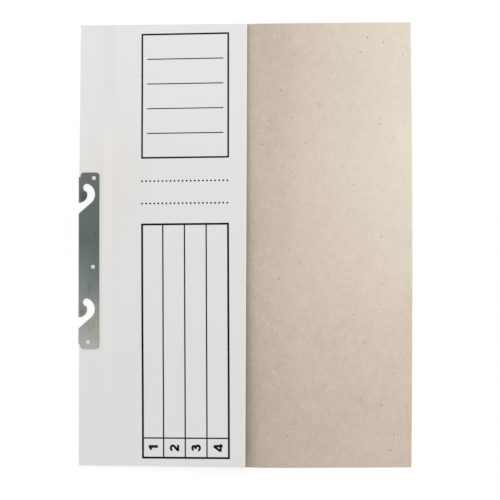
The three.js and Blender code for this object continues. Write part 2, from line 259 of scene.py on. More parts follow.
class Paint:
    """A material or the world, and the nodes that make it."""

    def __init__(self, name, world=False):
        self.owner = bpy.data.worlds.new(name) if world else bpy.data.materials.new(name)
        self.end = "ShaderNodeOutputWorld" if world else "ShaderNodeOutputMaterial"
        self.owner.use_nodes = True
        self.tree = self.owner.node_tree
        self.tree.nodes.clear()
        if not world:
            self.place = self.node("ShaderNodeTexCoord", output="Object")

    def node(self, kind, settings=None, inputs=None, output=0):
        """Adds a node, sets it up, fills its sockets and returns one of its outputs, if it has any."""
        made = self.tree.nodes.new(kind)
        for key, value in (settings or {}).items():
            if key == "stops":
                self.set_stops(made.color_ramp, value)
            else:
                setattr(made, key, value)
        for key, value in (inputs or {}).items():
            self.fill(made.inputs[key], value)
        return Tap(self, made.outputs[output]) if made.outputs else None

    def set_stops(self, ramp, stops):
        """Fills a colour ramp with places from 0 to 1 and their screen colours."""
        while len(ramp.elements) < len(stops):
            ramp.elements.new(1)
        for element, (position, shade) in zip(ramp.elements, stops):
            element.position = position
            element.color = (*light_of(*shade), 1)

    def fill(self, socket, value):
        if isinstance(value, Tap):
            self.tree.links.new(value.socket, socket)
        elif socket.type == "RGBA":
            socket.default_value = (*value, 1)
        else:
            socket.default_value = value

    def maths(self, operation, *values):
        return self.node("ShaderNodeMath", {"operation": operation}, dict(enumerate(values)))

    def mix(self, factor, first, second):
        """Blends two colours."""
        inputs = {0: factor, 6: first, 7: second}
        return self.node("ShaderNodeMix", {"data_type": "RGBA", "clamp_factor": True}, inputs, 2)

    def shade(self, tone, amount):
        """Makes a colour lighter or darker by a factor."""
        scaled = {0: tone, "Scale": amount}
        return self.node("ShaderNodeVectorMath", {"operation": "SCALE"}, scaled)

    def share(self, value, low, high):
        """How far a value lies from low to high, from 0 to 1."""
        return self.node("ShaderNodeMapRange", {"clamp": True}, {0: value, 1: low, 2: high})

    def axis(self, index):
        """The place along one axis of the piece."""
        return self.node("ShaderNodeSeparateXYZ", None, {0: self.place}, index)

    def seen_by(self, *rays):
        """1 for rays of the given kinds and 0 for all others."""
        seen = 0
        for ray in rays:
            seen = self.maths("MAXIMUM", self.node("ShaderNodeLightPath", output=ray), seen)
        return seen

    def stretched(self, along_x, along_y, along_z, turn=0.0):
        inputs = {"Vector": self.place, "Rotation": (0, 0, turn), "Scale": (along_x, along_y, along_z)}
        return self.node("ShaderNodeMapping", None, inputs)

    def noise(self, size, detail=2.0, roughness=0.5, distortion=0.0, where=None):
        """Noise whose features are about as large as size."""
        inputs = {
            "Vector": where or self.place, "Scale": 1 / size, "Detail": detail,
            "Roughness": roughness, "Distortion": distortion,
        }
        return self.node("ShaderNodeTexNoise", None, inputs)

    def specks(self, spacing, radius, amount, where=None):
        """Round specks on a lying sheet, one to a cell in a share of the cells. Returns a mask."""
        flat = {"voronoi_dimensions": "2D"}
        inputs = {"Vector": where or self.place, "Scale": 1 / spacing}
        distance = self.node("ShaderNodeTexVoronoi", flat, inputs, "Distance")
        chance = self.node("ShaderNodeTexVoronoi", flat, inputs, "Color")
        red = self.node("ShaderNodeSeparateColor", None, {0: chance}, 0)
        green = self.node("ShaderNodeSeparateColor", None, {0: chance}, 1)
        reach = (green * 0.7 + 0.3) * (radius / spacing)
        inside = 1 - self.share(distance - reach, 0, 0.4 * radius / spacing)
        return inside * (red < amount)

    def oval(self, x, y, half_width, half_height, waver):
        """An oval spot on a lying sheet, with an uneven rim. Returns a mask."""
        inputs = {
            "Vector": self.place, "Location": (-x / half_width, -y / half_height, 0),
            "Scale": (1 / half_width, 1 / half_height, 0),
        }
        flat = self.node("ShaderNodeMapping", None, inputs)
        distance = self.node("ShaderNodeVectorMath", {"operation": "LENGTH"}, {0: flat}, "Value")
        return 1 - self.share(distance + waver * 0.6 - 0.3, 0.2, 1)

    def bump(self, height, depth):
        inputs = {"Height": height, "Distance": depth, "Strength": 1.0}
        return self.node("ShaderNodeBump", None, inputs)

    def surface(self, **inputs):
        """Closes the material with one Principled shader."""
        named = {key.replace("_", " "): value for key, value in inputs.items()}
        return self.close("ShaderNodeBsdfPrincipled", named)

    def close(self, shader, inputs):
        """Ends the nodes with a shader and an output, and returns what they make."""
        self.node(self.end, None, {"Surface": self.node(shader, None, inputs)})
        return self.owner


def coated_white(colours):
    """Smooth clay coating on the outside of the board, with a faint print of the fibres under it."""
    paint = Paint("coated_white")
    cloud = paint.noise(45 * MM, 2)
    mottle = paint.noise(1.6 * MM, 3, 0.6)
    tone = paint.shade(colours.white, 0.992 + cloud * 0.012 + mottle * 0.008)
    dust = paint.specks(16 * MM, 0.16 * MM, 0.18)
    tone = paint.mix(dust * 0.25, tone, colours.core)
    across = paint.axis(0)
    # Painted shade: the white is darkened a little over the ramp beside the crease, over most of the page but
    # fading out towards the foot
    painted_shade_on_ramp = paint.share(across, FRONT_LOW.x - 1 * MM, FRONT_LOW.x + 1 * MM)
    painted_shade_on_ramp = painted_shade_on_ramp * paint.share(across, FRONT_LOW.x + 10 * MM, FRONT_LOW.x + 6 * MM)
    along = paint.axis(1)
    painted_shade_on_ramp = painted_shade_on_ramp * paint.share(along, -118 * MM, -60 * MM)
    tone = paint.shade(tone, 1 - painted_shade_on_ramp * 0.03)
    yellowed = paint.oval(-92.5 * MM, 42 * MM, 30 * MM, 66 * MM, cloud)
    tone = paint.mix(yellowed, tone, light_of(226, 223, 219))
    grain = paint.noise(0.5 * MM, 2) * 0.5 + paint.noise(2.4 * MM, 2)
    return paint.surface(
        Base_Color=tone, Roughness=0.5 + mottle * 0.08, Normal=paint.bump(grain, 0.008 * MM),
    )


def recycled_grey(colours):
    """Uncoated side of the board: recycled pulp with pale fibres, darker specks and soft clouds.

    The open half of the back cover carries painted shade beside the half cover's free edge and grows paler
    outwards, most of all at its outer edge.
    """
    paint = Paint("recycled_grey")
    across = paint.axis(0)
    along = paint.axis(1)
    # Painted shade beside the half cover's free edge: the grey is darker there and grows paler towards the
    # outer edge
    painted_shade_falloff = paint.share(across, FRONT_HIGH.x, BACK_HIGH.x) * 0.2
    painted_shade_falloff = painted_shade_falloff + paint.share(across, FRONT_HIGH.x + 4 * MM, FRONT_HIGH.x + 40 * MM) * 0.09
    # Darker towards the foot of the page
    toward_foot = 1 - paint.share(along, BACK_LOW.y, 0.2 * BACK_HIGH.y)
    outward = paint.share(across, FRONT_HIGH.x + 25 * MM, BACK_HIGH.x)
    head = paint.share(along, 0.4 * BACK_HIGH.y, BACK_HIGH.y) * (outward * 0.08 + 0.03)
    inward = paint.share(across, FRONT_HIGH.x + 4 * MM, FRONT_HIGH.x + 20 * MM) * (1 - outward)
    head = head + paint.share(along, 0.05 * BACK_HIGH.y, 0.45 * BACK_HIGH.y) * inward * 0.045
    cloud = paint.noise(70 * MM, 2, 0.5)
    patch = paint.noise(11 * MM, 3, 0.6)
    mottle = paint.noise(1.5 * MM, 4, 0.65)
    grain = paint.noise(0.7 * MM, 2, 0.6)
    streak = paint.noise(0.9 * MM, 2, 0.6, 0.0, paint.stretched(1, 0.2, 1))
    # A paler oval near the outer edge, above the middle of the page
    pale_oval = paint.oval(111.5 * MM, 76 * MM, 17 * MM, 27 * MM, cloud)
    depth = 0.52 + painted_shade_falloff * (1 - toward_foot * 0.3) - toward_foot * 0.09 - head + pale_oval * 0.06
    depth = depth + cloud * 0.14 + patch * 0.14 + mottle * 0.12 + grain * 0.08
    depth = depth + streak * 0.17
    tone = paint.shade(colours.recycled, depth)
    # Paler and more neutral near the outer edge, from low on the page up to the head
    paler_outer_part = outward * paint.share(along, -70 * MM, 50 * MM)
    tone = paint.mix(paler_outer_part * 0.5, tone, light_of(231, 229, 214))
    curls = abs(paint.noise(3.4 * MM, 1, 0.5, 1.8) - 0.5)
    thread = (1 - paint.share(curls, 0, 0.06)) * paint.share(paint.noise(6 * MM, 1), 0.52, 0.58)
    hairs = abs(paint.noise(2.6 * MM, 1, 0.5, 2.4, paint.stretched(1, 1, 1, 1.1)) - 0.5)
    dark_hair = (1 - paint.share(hairs, 0, 0.05)) * paint.share(paint.noise(5 * MM, 1), 0.54, 0.6)
    large = paint.specks(14 * MM, 0.46 * MM, 0.3, paint.stretched(1, 1, 1, 0.35))
    small = paint.specks(5 * MM, 0.32 * MM, 0.16, paint.stretched(1, 1, 1, -0.4))
    flecks = paint.specks(6 * MM, 0.5 * MM, 0.2, paint.stretched(1, 1, 1, 0.7))
    for mask, strength, pulp in (
        (thread, 0.2, (238, 229, 214)), (dark_hair, 0.18, (150, 133, 112)), (large, 0.62, (104, 84, 62)),
        (small, 0.45, (128, 108, 86)), (flecks, 0.32, (238, 230, 216)),
    ):
        tone = paint.mix(mask * strength, tone, light_of(*pulp))
    relief = grain + paint.noise(1.8 * MM, 2) + thread * 0.4
    return paint.surface(
        Base_Color=tone, Roughness=0.82 + mottle * 0.1, Normal=paint.bump(relief, 0.02 * MM),
        Specular_IOR_Level=0.3,
    )


def board_core(colours):
    """Cut edge of the board, a little ragged along the layers."""
    paint = Paint("board_core")
    layers = paint.noise(0.35 * MM, 3, 0.6, 0.0, paint.stretched(0.12, 0.12, 1))
    tone = paint.mix(layers, paint.shade(colours.core, 0.9), paint.shade(colours.core, 1.12))
    return paint.surface(
        Base_Color=tone, Roughness=0.9, Normal=paint.bump(layers, 0.03 * MM), Specular_IOR_Level=0.2,
    )


def printing_ink(colours):
    """Black ink, a little thinner where the coating took less of it."""
    paint = Paint("printing_ink")
    thin = paint.share(paint.noise(0.35 * MM, 3, 0.7), 0.6, 0.9)
    tone = paint.mix(thin * 0.2, colours.ink, light_of(70, 69, 70))
    return paint.surface(Base_Color=tone, Roughness=0.7 + thin * 0.15, Specular_IOR_Level=0.08)


# Scuffs on the steel, and painted shade beside the bent tongues of the two hook slots in the first two
# entries, in millimetres: place from the outside of the spine and up the page, half width, half height, and
# how dark they are from 0 to 1, or below 0 where the steel is paler
STEEL_SCUFFS_AND_SHADE = (
    (3.4, 33.6, 3.6, 5.2, 0.42), (2.7, -46.5, 3.6, 5.2, 0.3), (8.2, 46.6, 1.5, 0.5, 0.3),
    (5.8, -15.2, 1.3, 0.5, 0.5), (8.3, -15.4, 0.7, 0.7, 0.5), (11.5, 7.6, 0.7, 1.3, 0.5),
    (12.1, 5.0, 0.6, 1.8, 0.25), (7.9, -28.3, 0.6, 1.6, 0.55), (7.9, -31.0, 0.5, 4.2, 0.25),
    (8.0, -58.5, 0.5, 2.0, 0.25), (2.4, -7.8, 1.6, 0.5, 0.3), (10.8, 18.1, 1.8, 0.5, 0.2),
    (10.8, -2.9, 1.8, 0.5, 0.2), (2.8, -20.0, 7.0, 21.0, -0.19),
)


def zinc_strip():
    """Rolled, zinc-plated steel of the hook strip, its colour running from dull grey-green at the head to
    paler at the foot as a painted reflection of the room.
    """
    paint = Paint("zinc_strip")
    across = paint.axis(0)
    along = paint.axis(1)
    wander = paint.noise(14 * MM, 2) * 0.08 - 0.04
    # Painted reflection: the steel's colour is set by the place up the strip, pale at the foot and dark
    # grey-green at the head
    share = paint.share(along, STRIP_LOW.y, STRIP_HIGH.y) + wander
    stops = [
        (0.0, (171, 171, 164)), (0.27, (132, 135, 133)), (0.4, (109, 116, 113)), (0.62, (94, 104, 101)),
        (1.0, (103, 110, 106)),
    ]
    tone = paint.node("ShaderNodeValToRGB", {"stops": stops}, {0: share})
    olive = paint.share(share, 0.3, 0.12) * paint.share(share, 0.02, 0.1)
    olive = olive * paint.share(across, STRIP_LOW.x + 4 * MM, STRIP_HIGH.x - 2 * MM)
    tone = paint.mix(olive * 0.6, tone, light_of(158, 158, 139))
    rolled = paint.noise(0.5 * MM, 3, 0.6, 0.0, paint.stretched(1, 0.03, 1))
    bloom = paint.noise(3.5 * MM, 3, 0.6)
    tone = paint.shade(tone, 0.88 + rolled * 0.08 + bloom * 0.06)
    smudge = paint.share(paint.noise(8 * MM, 3, 0.6, 0.4, paint.stretched(1, 0.6, 1)), 0.6, 0.75)
    tone = paint.mix(smudge * 0.35, tone, light_of(84, 90, 88))
    rub = abs(paint.noise(4 * MM, 1, 0.5, 0.3, paint.stretched(1, 0.12, 1, 0.06)) - 0.5)
    scratch = (1 - paint.share(rub, 0, 0.006)) * paint.share(paint.noise(11 * MM, 1), 0.55, 0.65)
    tone = paint.mix(scratch * 0.2, tone, light_of(196, 199, 194))
    # Painted shade along both long edges of the strip
    rim = paint.share(across, STRIP_LOW.x + 1.2 * MM, STRIP_LOW.x)
    rim = rim + paint.share(across, STRIP_HIGH.x - 1.0 * MM, STRIP_HIGH.x)
    dark = rim * 0.16
    # Scuffs, and painted shade beside the hook slots' tongues
    for x, y, half_width, half_height, depth in STEEL_SCUFFS_AND_SHADE:
        spot = paint.oval(STRIP_LOW.x + x * MM, y * MM, half_width * MM, half_height * MM, bloom)
        dark = dark + spot * depth
    tone = paint.shade(tone, 1 - dark)
    relief = rolled * 0.6 + bloom + scratch * -0.5
    return paint.surface(
        Base_Color=tone, Metallic=1.0, Roughness=0.36 + bloom * 0.12 + smudge * 0.1,
        Normal=paint.bump(relief, 0.006 * MM),
    )


def bright_rivet(colours):
    paint = Paint("bright_rivet")
    worn = paint.noise(0.4 * MM, 2)
    tone = paint.mix(worn, paint.shade(colours.rivet, 0.82), colours.rivet)
    return paint.surface(
        Base_Color=tone, Metallic=1.0, Roughness=0.2 + worn * 0.15, Normal=paint.bump(worn, 0.01 * MM),
    )


def rolled_tin(colours):
    """Rolled tinplate of the fastener, a little dulled."""
    paint = Paint("rolled_tin")
    rolled = paint.noise(0.3 * MM, 3, 0.6, 0.0, paint.stretched(1, 0.02, 1))
    bloom = paint.noise(6 * MM, 2)
    tone = paint.shade(colours.tin, 0.86 + rolled * 0.12 + bloom * 0.1)
    return paint.surface(
        Base_Color=tone, Metallic=1.0, Roughness=0.4 + bloom * 0.14 + rolled * 0.06,
        Normal=paint.bump(rolled, 0.004 * MM),
    )


def glued_paper(colours):
    paint = Paint("glued_paper")
    mottle = paint.noise(1.1 * MM, 3, 0.6)
    cockle = paint.noise(14 * MM, 2, 0.5, 0.0, paint.stretched(1, 0.4, 1))
    tone = paint.shade(colours.paper, 0.94 + mottle * 0.07 + cockle * 0.04)
    relief = mottle * 0.15 + cockle
    return paint.surface(
        Base_Color=tone, Roughness=0.85, Normal=paint.bump(relief, 0.05 * MM), Specular_IOR_Level=0.25,
    )


def white_table():
    """Pale floor. It shows white to the camera and in reflections, and keeps the folder's shadow."""
    paint = Paint("white_table")
    seen = paint.seen_by("Is Camera Ray", "Is Glossy Ray", "Is Transmission Ray")
    matt = paint.node("ShaderNodeBsdfDiffuse", None, {"Color": light_of(122, 122, 122)})
    glow = paint.node("ShaderNodeEmission", None, {"Color": (1, 1, 1), "Strength": seen * 0.83})
    return paint.close("ShaderNodeAddShader", {0: matt, 1: glow})


def finish_for(maker, *values):
    """One material for each finish, made when a piece first needs it."""
    return bpy.data.materials.get(maker.__name__) or maker(*values)


def placed(name, data):
    """Puts a mesh, lamp or camera into the scene."""
    made = bpy.data.objects.new(name, data)
    bpy.context.scene.collection.objects.link(made)
    return made


def piece_from(bm, name, materials, body=None, smooth=True):
    """Turns a bmesh into a finished piece and lets it ride on its body."""
    mesh = bpy.data.meshes.new(name)
    bm.to_mesh(mesh)
    bm.free()
    for material in materials:
        mesh.materials.append(material)
    if smooth:
        mesh.shade_smooth()
        mesh.set_sharp_from_angle(angle=SHARP)
    piece = placed(name, mesh)
    if body:
        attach(piece, body)
    return piece


def round_edges(piece, width, segments=2):
    """Rounds the sharp edges of a piece."""
    bevel = piece.modifiers.new("edges", "BEVEL")
    bevel.width = width
    bevel.segments = segments
    bevel.limit_method = "ANGLE"
    bevel.angle_limit = math.radians(50)
    bevel.use_clamp_overlap = True


def copy_of(node):
    """A merged copy of a CAD node's loose triangles."""
    bm = bmesh.new()
    bm.from_mesh(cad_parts[node].data)
    bmesh.ops.remove_doubles(bm, verts=bm.verts[:], dist=0.002 * MM)
    bmesh.ops.dissolve_limit(bm, angle_limit=math.radians(0.5), verts=bm.verts[:], edges=bm.edges[:])
    return bm


def ramped(share, ends):
    """A straight ramp from 0 to 1 with rounded ends."""
    share = min(max(share, 0.0), 1.0)
    if share > 0.5:
        return 1 - ramped(1 - share, ends)
    rise = share - ends / 2 if share > ends else share * share / (2 * ends)
    return rise / (1 - ends)


def half_cover_underside(board, x, y):
    """Height of the half cover's underside.

    Over the fastener it goes up from the crease, then gently to the free edge. Beyond the fastener's ends
    it sinks to a straight slope.
    """
    foot_share = (0.5 - 0.5 * y / HALF_LENGTH) ** board.edge_curl
    edge = board.edge_height_head + (board.edge_height_foot - board.edge_height_head) * foot_share
    ramp_end = CREASE_MIDDLE + board.ramp_width
    level = board.over_fastener + (edge - board.over_fastener) * (x - ramp_end) / (FRONT_HIGH.x - ramp_end)
    lift = ramped((x - CREASE_MIDDLE) / board.ramp_width, board.ramp_ends)
    raised = (level - FRONT_LOW.z) * lift
    straight = (edge - FRONT_LOW.z) * max(x - CREASE_MIDDLE, 0) / (FRONT_HIGH.x - CREASE_MIDDLE)
    sunk = ramped((abs(y) - board.hump_start) / (board.hump_end - board.hump_start), 0.5)
    return FRONT_LOW.z + raised + (straight - raised) * sunk


def back_cover_underside(board, x, y):
    """Height of the back cover's underside: down from the crease to the table."""
    crease = BACK_HIGH.z - board.thickness
    return crease * (1 - ramped((x - CREASE_MIDDLE) / board.back_ramp_width, board.ramp_ends))


def slanted(board, x, y):
    """The half cover's free edge runs a little out of square."""
    share = (x - CREASE_MIDDLE) / (FRONT_HIGH.x - CREASE_MIDDLE)
    return x + (board.edge_reach + board.edge_slant * y / HALF_LENGTH) * max(share, 0) ** 4


def bowed(board, x, y):
    """The back cover's outer edge reaches furthest near the middle of the page."""
    share = (x - FRONT_HIGH.x) / (BACK_HIGH.x - FRONT_HIGH.x)
    return x - board.edge_bow * ((y - board.bow_middle) / HALF_LENGTH) ** 2 * max(share, 0) ** 4


# How the board's ends are cut, in millimetres: the distance from the outside of the spine, then how far
# the board ends short of the full length at the head and at the foot
BOARD_ENDS = (
    (0, 1.0, 0.95), (29, 0.95, 0.95), (57, 0.87, 0.86), (85, 0.87, 0.8), (115, 0.9, 0.6),
    (122, 0.6, 0.0), (155, 0.5, 0.18), (183, 0.5, 0.5), (232, 0.5, 1.1),
)


def trimmed(x, y):
    """Place along the page of a point of the board, once its ends are cut."""
    from_fold = min((x - CAD_LOW.x) / MM, BOARD_ENDS[-1][0])
    for before, after in zip(BOARD_ENDS, BOARD_ENDS[1:]):
        if from_fold <= after[0]:
            break
    share = (from_fold - before[0]) / (after[0] - before[0])
    side = 1 if y > 0 else 2
    less = (before[side] + (after[side] - before[side]) * share) * MM
    return y * (1 - less / HALF_LENGTH)


def cut_along(bm, normal, places):
    """Cuts a mesh along planes square to an axis."""
    for place in places:
        geometry = bm.verts[:] + bm.edges[:] + bm.faces[:]
        point = Vector(normal) * place
        bmesh.ops.bisect_plane(bm, geom=geometry, dist=0.001 * MM, plane_co=point, plane_no=normal)


def steps(start, end, count):
    """Evenly spaced places between two ends, without the ends."""
    return [start + (end - start) * index / count for index in range(1, count)]


def board_sheet(board, right, columns, height_at):
    """A sheet of board from the spine's margin to its right edge, lying at the given heights."""
    bm = bmesh.new()
    bmesh.ops.create_grid(bm, x_segments=1, y_segments=1, size=0.5)
    left = CREASE_START[0]
    bmesh.ops.scale(bm, verts=bm.verts[:], vec=(right - left, 2 * HALF_LENGTH, 1))
    bmesh.ops.translate(bm, verts=bm.verts[:], vec=((left + right) / 2, 0, 0))
    cut_along(bm, (1, 0, 0), columns)
    cut_along(bm, (0, 1, 0), steps(-HALF_LENGTH, HALF_LENGTH, STRIPS_ALONG))
    bmesh.ops.recalc_face_normals(bm, faces=bm.faces[:])
    if bm.faces[:][0].normal.z < 0:
        bmesh.ops.reverse_faces(bm, faces=bm.faces[:])
    for vert in bm.verts:
        vert.co.z = height_at(board, vert.co.x, vert.co.y)
        vert.co.y = trimmed(vert.co.x, vert.co.y)
    bmesh.ops.solidify(bm, geom=bm.faces[:], thickness=-board.thickness)
    bmesh.ops.recalc_face_normals(bm, faces=bm.faces[:])
    return bm


def crease_columns(ramp_width):
    """Cut lines close together across the crease and the ramp beside it."""
    crease = steps(CREASE_START[0], CREASE_END[0], 8) + [CREASE_END[0]]
    return crease + steps(CREASE_END[0], CREASE_MIDDLE + ramp_width, 16) + [CREASE_MIDDLE + ramp_width]


def press_crease(bm, board, upward):
    """Presses the shallow crease line into the face on the outside of the board."""
    half = (CREASE_END[0] - CREASE_START[0]) / 2
    for vert in bm.verts:
        away = abs(vert.co.x - CREASE_MIDDLE) / half
        if away < 1 and vert.normal.z * upward > 0.5:
            vert.co.z -= upward * board.crease_depth * (1 - away * away)


def sort_faces(bm, up_index, down_index, edge_index):
    """Gives each face of a lying sheet its finish, by the way that it points."""
    for face in bm.faces:
        if face.normal.z > 0.5:
            face.material_index = up_index
        elif face.normal.z < -0.5:
            face.material_index = down_index
        else:
            face.material_index = edge_index


def board_finishes(context):
    colours = context.scene.folder_colours
    return [
        finish_for(coated_white, colours),
        finish_for(recycled_grey, colours),
        finish_for(board_core, colours),
    ]


WHITE, GREY, CORE = range(3)


class FOLDER_OT_spine_margin(bpy.types.Operator):
    """Makes the board's folded margin, white outside and grey where its two layers meet"""

    bl_idname = "folder.spine_margin"
    bl_label = "Spine margin"

    def execute(self, context):
        board = context.scene.folder_board
        bm = copy_of("spine_fold")
        cut_along(bm, (0, 1, 0), [board.corner_start])
        for vert in bm.verts:
            from_crease = (SPINE_HIGH.x - vert.co.x) / (SPINE_HIGH.x - SPINE_LOW.x)
            beyond = (vert.co.y - board.corner_start) / (HALF_LENGTH - board.corner_start)
            vert.co.x += board.corner_slant * from_crease * max(beyond, 0)
            if abs(vert.co.y) > HALF_LENGTH - 1 * MM:
                vert.co.y = trimmed(vert.co.x, vert.co.y)
        bm.normal_update()
        fold_x = STRIP_LOW.x + (STRIP_HIGH.z - STRIP_LOW.z) / 2
        for face in bm.faces:
            middle = face.calc_center_median()
            out = Vector((min(middle.x - fold_x, 0), 0, middle.z - FOLD_HEIGHT)).normalized()
            facing = face.normal.dot(out)
            face.material_index = WHITE if facing > 0.5 else GREY if facing < -0.5 else CORE
        piece = piece_from(bm, "spine_margin", board_finishes(context), "spine")
        round_edges(piece, board.rim_round)
        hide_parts("spine_fold")
        return {"FINISHED"}


class FOLDER_OT_half_cover(bpy.types.Operator):
    """Makes the half cover with its crease, white outside and grey inside"""

    bl_idname = "folder.half_cover"
    bl_label = "Half cover"

    def execute(self, context):
        board = context.scene.folder_board
        columns = crease_columns(board.ramp_width)
        rim = FRONT_HIGH.x - board.worn_rim
        columns += steps(columns[-1], FRONT_HIGH.x, 14) + [rim]
        bm = board_sheet(board, FRONT_HIGH.x, columns, half_cover_underside)
        bm.normal_update()
        press_crease(bm, board, 1)
        sort_faces(bm, WHITE, GREY, CORE)
        # Painted highlight: the top faces along the free edge take the core's lighter colour
        for face in bm.faces:
            if face.material_index == WHITE and face.calc_center_median().x > rim:
                face.material_index = CORE
        for vert in bm.verts:
            vert.co.x = slanted(board, vert.co.x, vert.co.y)
        piece = piece_from(bm, "half_cover", board_finishes(context))
        round_edges(piece, board.rim_round)
        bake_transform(piece)
        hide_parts("front_half_cover")
        return {"FINISHED"}


class FOLDER_OT_back_board(bpy.types.Operator):
    """Makes the back cover with its crease, grey inside and white outside"""

    bl_idname = "folder.back_board"
    bl_label = "Back cover"

    def execute(self, context):
        board = context.scene.folder_board
        columns = crease_columns(board.back_ramp_width)
        columns += steps(columns[-1], BACK_HIGH.x, 20)
        bm = board_sheet(board, BACK_HIGH.x, columns, back_cover_underside)
        bm.normal_update()
        press_crease(bm, board, -1)
        sort_faces(bm, GREY, WHITE, CORE)
        for vert in bm.verts:
            vert.co.x = bowed(board, vert.co.x, vert.co.y)
        piece = piece_from(bm, "back_board", board_finishes(context))
        round_edges(piece, board.rim_round)
        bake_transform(piece)
        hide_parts("back_cover")
        return {"FINISHED"}


# How far the print strays from its place at the form's left and right sides: the distance from the
# head of the page, then how far it lies to the right and up at each side
PRINT_DRIFT = (
    (0 * MM, (0.8 * MM, -0.8 * MM), (1.2 * MM, -0.16 * MM)),
    (139.1 * MM, (0.86 * MM, -0.6 * MM), (1.26 * MM, -0.08 * MM)),
    (302.4 * MM, (1.7 * MM, -0.24 * MM), (2.1 * MM, -0.12 * MM)),
)

# Digits of height 1: how much they are widened, bars from end to end, and bows with middle, radius,
# start and sweep
DIGITS = {
    "1": (1.25, [((0.42, 0), (0.42, 1)), ((0.14, 0.7), (0.42, 0.9))], []),
    "2": (1.14, [((0.49, 0.52), (0.1, 0.13)), ((0.02, 0.1), (0.64, 0.1))], [((0.33, 0.68), 0.22, 170, -215)]),
    "3": (
        1.2, [((0.22, 0.56), (0.32, 0.56))], [((0.3, 0.74), 0.17, 170, -260), ((0.3, 0.32), 0.22, 90, -260)],
    ),
    "4": (1.08, [((0.52, 0.05), (0.52, 1)), ((0.0, 0.28), (0.49, 1.02)), ((-0.03, 0.27), (0.72, 0.27))], []),
}


def add_block(bm, size):
    """Adds a block of ink of the given length and width, and returns its vertices."""
    made = bmesh.ops.create_cube(bm, size=1)["verts"]
    bmesh.ops.scale(bm, verts=made, vec=size)
    return made


def add_bar(bm, form, left, head, right, foot):
    """Adds one printed bar, given from the outside of the spine and from the head of the page."""
    made = add_block(bm, (right - left, foot - head, 2 * form.ink_height))
    middle = (CAD_LOW.x + (left + right) / 2, CAD_HIGH.y - (head + foot) / 2, 0)
    bmesh.ops.translate(bm, verts=made, vec=middle)


def add_box(bm, form, head, foot, line):
    """Adds the outline of a printed box, drawn with a line of the given width."""
    add_bar(bm, form, form.left, head, form.right, head + line)
    add_bar(bm, form, form.left, foot - line, form.right, foot)
    add_bar(bm, form, form.left, head + line, form.left + line, foot - line)
    add_bar(bm, form, form.right - line, head + line, form.right, foot - line)


def strayed(form, place):
    """Moves a place of the print to where the press left it."""
    from_head = CAD_HIGH.y - place.y
    across = (place.x - CAD_LOW.x - form.left) / (form.right - form.left)
    upper, lower = PRINT_DRIFT[:2] if from_head < PRINT_DRIFT[1][0] else PRINT_DRIFT[1:]
    down = (from_head - upper[0]) / (lower[0] - upper[0])
    left = Vector(upper[1]).lerp(Vector(lower[1]), down)
    right = Vector(upper[2]).lerp(Vector(lower[2]), down)
    drift = left.lerp(right, across)
    return Vector((place.x + drift.x, place.y + drift.y, place.z))


def print_on_cover(bm, context, name):
    """Lays flat ink on the half cover and turns it into a piece."""
    board = context.scene.folder_board
    form = context.scene.folder_form
    for vert in bm.verts:
        vert.co = strayed(form, vert.co)
    cut_along(bm, (0, 1, 0), steps(-HALF_LENGTH, HALF_LENGTH, STRIPS_ALONG))
    cut_along(bm, (1, 0, 0), steps(CAD_LOW.x, FRONT_HIGH.x, 12))
    for vert in bm.verts:
        vert.co.z += half_cover_underside(board, vert.co.x, vert.co.y) + board.thickness
    ink = finish_for(printing_ink, context.scene.folder_colours)
    piece_from(bm, name, [ink], "front", smooth=False)


class FOLDER_OT_top_box(bpy.types.Operator):
    """Prints the ruled box at the head of the half cover"""

    bl_idname = "folder.top_box"
    bl_label = "Ruled box"

    def execute(self, context):
        form = context.scene.folder_form
        bm = bmesh.new()
        add_box(bm, form, form.top_box_start, form.top_box_end, form.box_line)
        half = form.row_line / 2
        left = form.left + form.row_inset
        right = form.right - form.row_inset
        for index in range(form.top_box_lines):
            place = form.top_box_start + form.box_line / 2 + form.row_pitch * (index + 1)
            add_bar(bm, form, left, place - half, right, place + half)
        print_on_cover(bm, context, "printed_top_box")
        return {"FINISHED"}


class FOLDER_OT_dotted_rows(bpy.types.Operator):
    """Prints the two dotted rows"""

    bl_idname = "folder.dotted_rows"
    bl_label = "Dotted rows"

    def execute(self, context):
        form = context.scene.folder_form
        bm = bmesh.new()
        pitch = (form.dot_end - form.left - form.dot_radius) / (form.dot_count - 1)
        for row in (form.dot_row_1, form.dot_row_2):
            for index in range(form.dot_count):
                x = CAD_LOW.x + form.left + form.dot_radius + pitch * index
                place = Matrix.Translation((x, CAD_HIGH.y - row, 0))
                bmesh.ops.create_cone(
                    bm, cap_ends=True, segments=20, radius1=form.dot_radius, radius2=form.dot_radius,
                    depth=2 * form.ink_height, matrix=place,
                )
        print_on_cover(bm, context, "printed_dotted_rows")
        return {"FINISHED"}


class FOLDER_OT_table(bpy.types.Operator):
    """Prints the table with its columns and the line over the numbered cells"""

    bl_idname = "folder.table"
    bl_label = "Table"

    def execute(self, context):
        form = context.scene.folder_form
        bm = bmesh.new()
        add_box(bm, form, form.table_start, form.table_end, form.table_line)
        head = form.table_start + form.table_line
        foot = form.table_end - form.table_line
        half = form.column_line / 2
        line = form.heading_line / 2
        for place in column_places(form)[1:-1]:
            add_bar(bm, form, place - half, head, place + half, form.heading_place - line)
            add_bar(bm, form, place - half, form.heading_place + line, place + half, foot)
        add_bar(
            bm, form, form.left + form.table_line, form.heading_place - line,
            form.right - form.table_line, form.heading_place + line,
        )
        print_on_cover(bm, context, "printed_table")
        return {"FINISHED"}


def pour(source, target):
    """Moves the geometry of one bmesh into another."""
    mesh = bpy.data.meshes.new("poured")
    source.to_mesh(mesh)
    source.free()
    target.from_mesh(mesh)
    bpy.data.meshes.remove(mesh)


